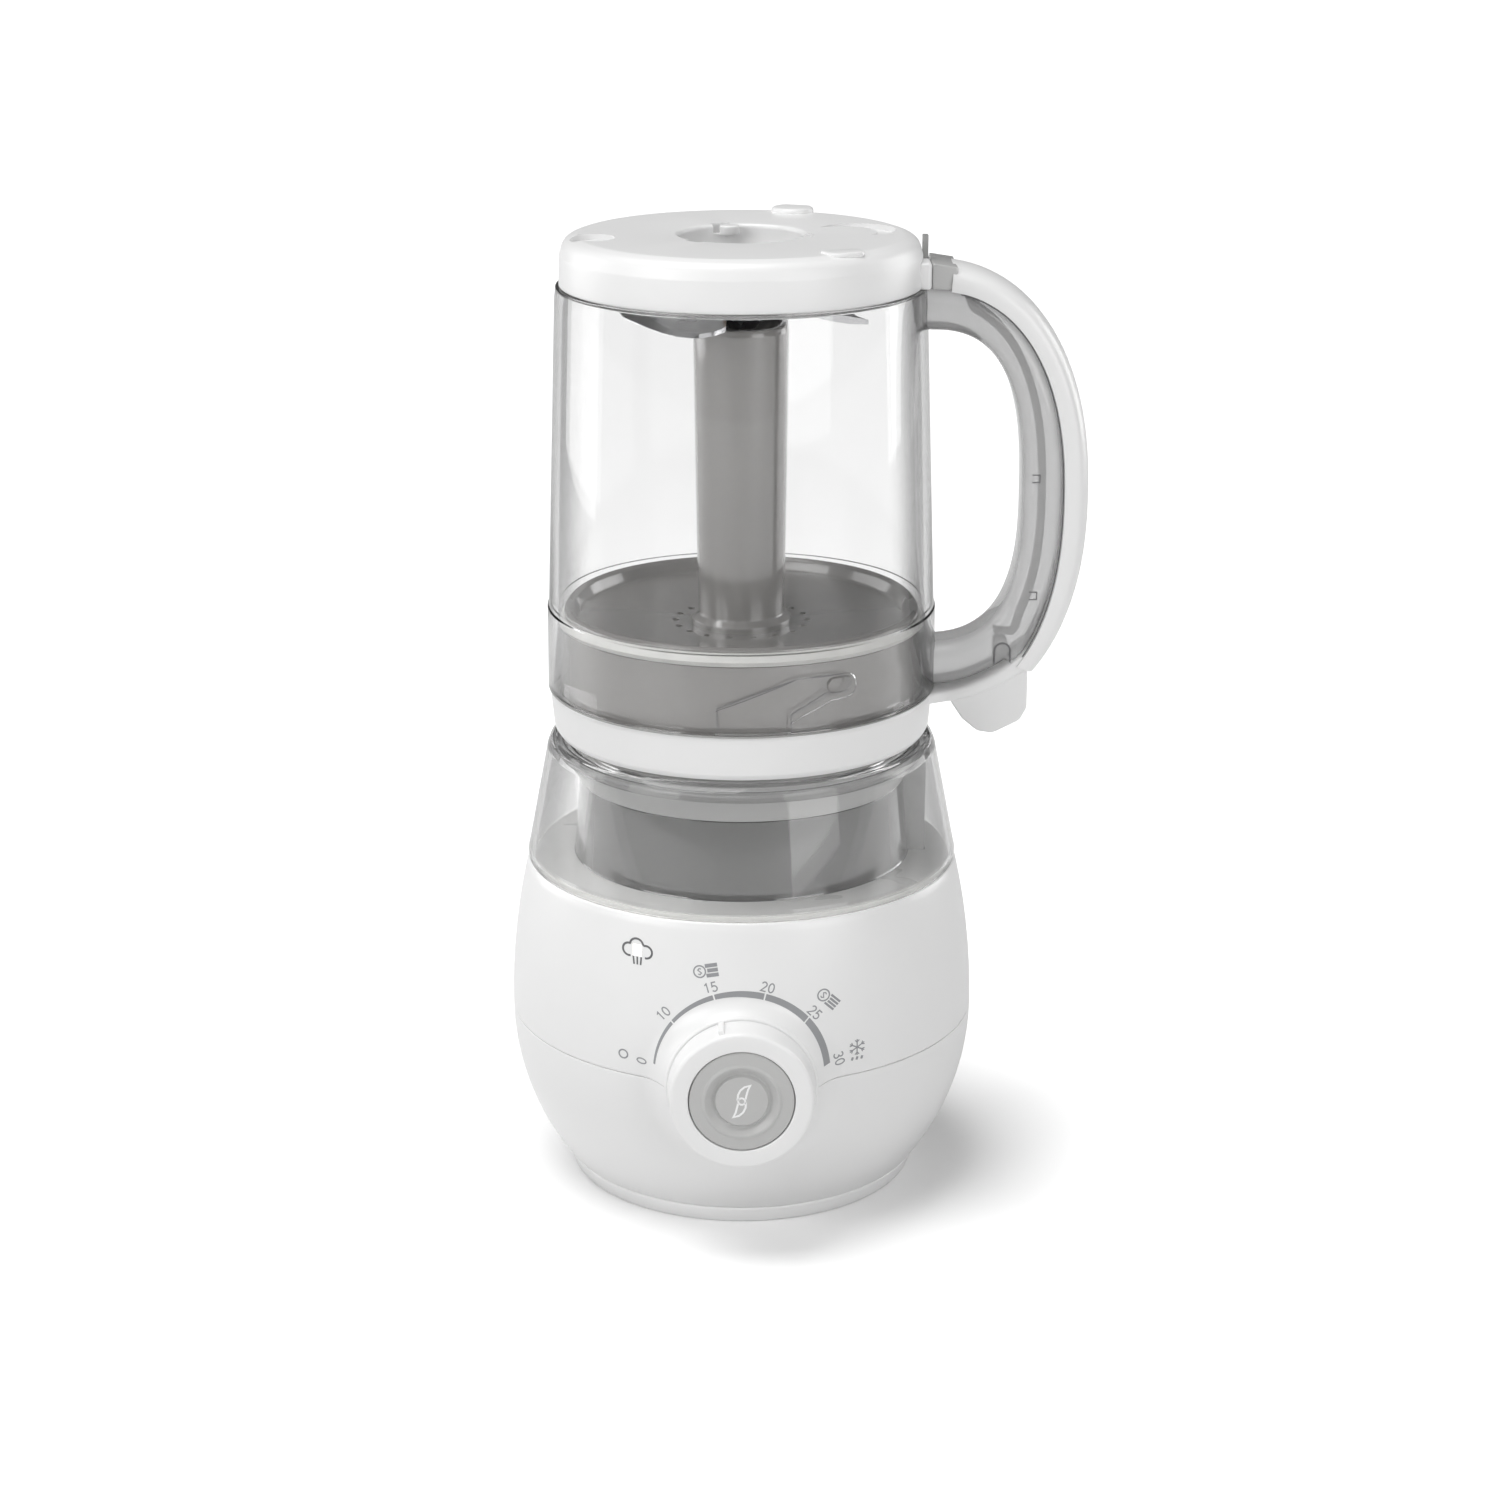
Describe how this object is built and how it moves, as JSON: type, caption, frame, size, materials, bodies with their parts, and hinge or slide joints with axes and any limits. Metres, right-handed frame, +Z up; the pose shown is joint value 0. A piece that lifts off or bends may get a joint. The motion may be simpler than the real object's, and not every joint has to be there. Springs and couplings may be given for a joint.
{
  "type": "baby food maker",
  "caption": "Steam-and-blend baby food maker: clear jar with handle on a gray lid and a round white base with a clear water tank, timer knob and blend button.",
  "frame": {"origin": "on the jar's vertical axis, on the surface that the foot ring stands on", "axes": "+Z up along the jar, -Y to the front where the knob is, +X to the jar's handle"},
  "size_m": [0.1846, 0.1636, 0.3098],
  "materials": {
    "white_plastic": "satin moulded",
    "clear_plastic": "clear polished",
    "gray_plastic": "satin moulded",
    "pale_plastic": "satin moulded",
    "button_plastic": "satin moulded",
    "dark_plastic": "moulded",
    "silicone": "soft matt",
    "dark_rubber": "matt",
    "steel": "ground",
    "lamination": "stacked sheet",
    "aluminium": "die cast",
    "copper": "enamelled wire",
    "bronze": "sintered",
    "board": "printed circuit"
  },
  "bodies": {
    "main_unit": {"foot_ring": "white_plastic", "rubber_feet": "dark_rubber", "lower_housing": "white_plastic", "upper_housing": "white_plastic", "housing_screws": "steel", "cord_gland": "dark_rubber", "tank_floor": "pale_plastic", "tank_gasket": "silicone", "water_tank": "clear_plastic", "filler_spout": "clear_plastic", "motor_tower": "gray_plastic", "jar_seat": "pale_plastic", "interlock_column": "pale_plastic", "interlock_switch": "dark_plastic", "motor_mount": "pale_plastic", "motor_stator": "lamination", "stator_windings": "copper", "lower_bracket": "aluminium", "upper_bracket": "aluminium", "carbon_brushes": "dark_plastic", "brush_holders": "bronze", "deck_bush": "bronze", "boiler": "aluminium", "boiler_lid": "aluminium", "boiler_stand": "dark_plastic", "heating_element": "steel", "thermostat": "steel", "steam_pipe": "pale_plastic", "inlet_pipe": "pale_plastic", "steam_seal": "silicone", "control_board": "board", "timer_unit": "pale_plastic", "blend_switch": "dark_plastic", "light_guide": "clear_plastic", "button_spring": "steel"},
    "filler_flap": {"filler_flap": "pale_plastic"},
    "plunger": {"interlock_plunger": "white_plastic"},
    "rotor": {"motor_rotor": "lamination", "motor_shaft": "steel", "motor_fan": "white_plastic", "drive_coupling": "dark_plastic"},
    "knob": {"timer_knob": "white_plastic", "timer_shaft": "pale_plastic"},
    "button": {"blend_button": "button_plastic"},
    "lid": {"lid_base": "gray_plastic", "lid_plate": "gray_plastic", "steam_tube": "gray_plastic", "lock_ring": "white_plastic"},
    "seal": {"lid_seal": "silicone"},
    "jar": {"jar_wall": "clear_plastic", "handle_core": "clear_plastic", "handle_grip": "white_plastic", "jar_cap": "white_plastic", "jar_gasket": "silicone"},
    "rod": {"interlock_rod": "pale_plastic"},
    "blade_unit": {"blade_carrier": "white_plastic", "blade_seal": "silicone", "blade_bush": "bronze"},
    "blades": {"blade_rotor": "steel", "driven_coupling": "dark_plastic"}
  },
  "joints": [
    {"name": "flap_hinge", "type": "hinge", "parent": "main_unit", "child": "filler_flap", "pos_m": [0, 0.0649, 0.1452], "axis": [1, 0, 0], "range_deg": [0, 80]},
    {"name": "plunger_press", "type": "slide", "parent": "main_unit", "child": "plunger", "axis": [0, 0, 1], "range_m": [-0.004, 0], "stiffness_N_per_m": 300, "springref_m": 0.001},
    {"name": "motor_spin", "type": "hinge", "parent": "main_unit", "child": "rotor", "pos_m": [0, 0, 0.05], "axis": [0, 0, 1], "continuous": true},
    {"name": "knob_turn", "type": "hinge", "parent": "main_unit", "child": "knob", "pos_m": [0, -0.08, 0.056], "axis": [0, 1, 0], "range_deg": [-62.4, 93.6]},
    {"name": "button_press", "type": "slide", "parent": "main_unit", "child": "button", "axis": [0, 1, 0], "range_m": [0, 0.0025], "stiffness_N_per_m": 400, "springref_m": -0.001, "deforming": ["button_spring"]},
    {"name": "lid_lift", "type": "slide", "parent": "main_unit", "child": "lid", "axis": [0, 0, 1], "range_m": [0, 0.05]},
    {"name": "jar_twist", "type": "hinge", "parent": "lid", "child": "seal", "pos_m": [0, 0, 0.187], "axis": [0, 0, 1], "range_deg": [0, 28]},
    {"name": "jar_lift", "type": "slide", "parent": "seal", "child": "jar", "axis": [0, 0, 1], "range_m": [0, 0.12]},
    {"name": "rod_slide", "type": "slide", "parent": "jar", "child": "rod", "axis": [0, 0, 1], "range_m": [-0.003, 0]},
    {"name": "blade_unit_twist", "type": "hinge", "parent": "jar", "child": "blade_unit", "pos_m": [0, 0, 0.29], "axis": [0, 0, 1], "range_deg": [0, 25]},
    {"name": "blade_spin", "type": "hinge", "parent": "blade_unit", "child": "blades", "pos_m": [0, 0, 0.285], "axis": [0, 0, 1], "continuous": true}
  ],
  "couplings": [
    {"joint": "rod_slide", "follows": "jar_twist", "m_per_rad": -0.006138}
  ]
}
